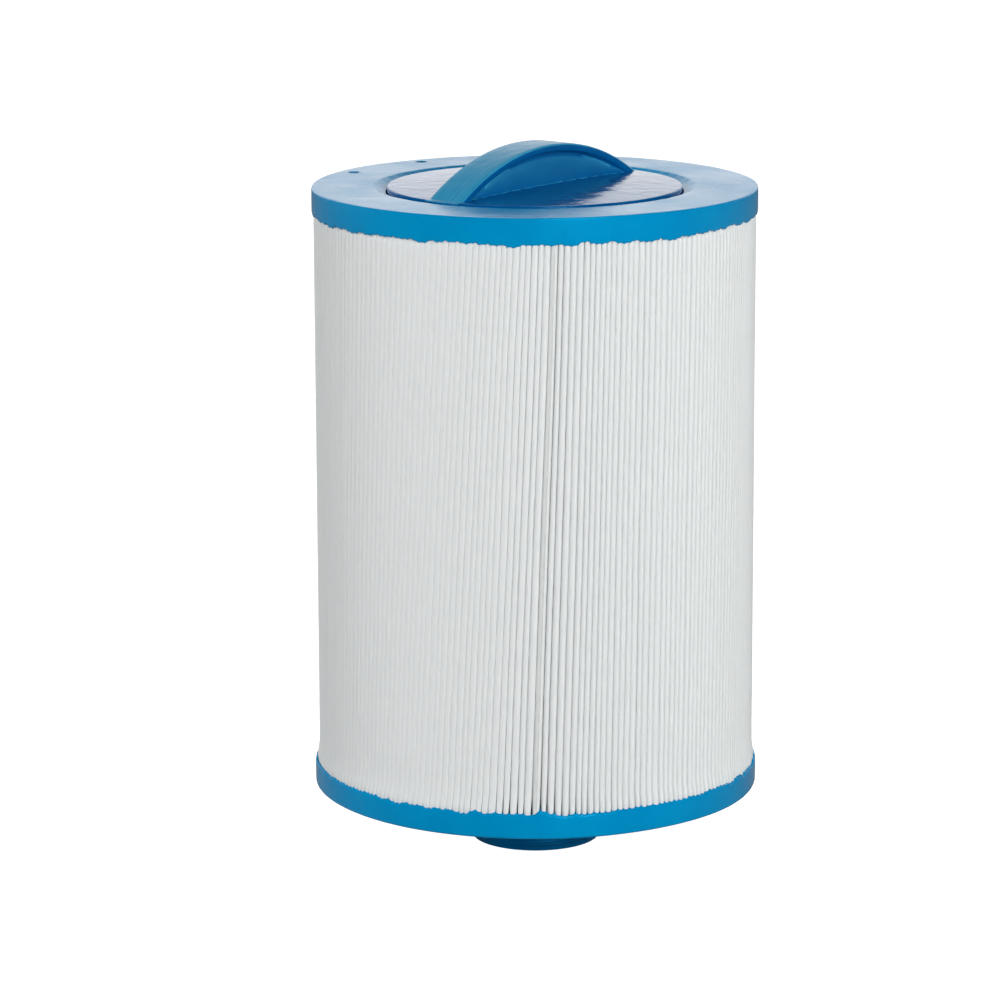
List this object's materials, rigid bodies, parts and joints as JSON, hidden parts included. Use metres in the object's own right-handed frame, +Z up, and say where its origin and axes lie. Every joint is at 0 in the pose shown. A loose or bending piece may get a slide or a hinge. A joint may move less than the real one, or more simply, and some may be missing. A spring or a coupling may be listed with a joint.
{
  "type": "pleated filter cartridge",
  "caption": "Pleated water filter cartridge with soft end caps, an arched carrying handle on top and a threaded hollow spigot below.",
  "frame": {"origin": "centre of the bottom of the cartridge's bounding box, which is the centre of the threaded spigot's end face", "axes": "+Z up the cartridge's axis from the spigot to the handle; -Y is the front; the handle runs from front left to back right, 51.5 degrees from +X"},
  "size_m": [0.1542, 0.1542, 0.2447],
  "materials": {
    "end_cap_urethane": "glossy cast urethane, bright blue",
    "handle_plastic": "glossy moulded plastic, mid blue",
    "core_plastic": "satin moulded plastic, white",
    "fitting_plastic": "satin moulded plastic, dark blue",
    "media_felt": "matt calendered spunbond polyester felt, white",
    "seam_adhesive": "dull hot-melt adhesive, off-white"
  },
  "bodies": {
    "root": {"top_end_cap": "end_cap_urethane", "bottom_end_cap": "end_cap_urethane", "handle_plate": "handle_plastic", "core_tube": "core_plastic", "threaded_fitting": "fitting_plastic", "pleated_media": "media_felt", "seam_strip": "seam_adhesive"}
  },
  "joints": []
}
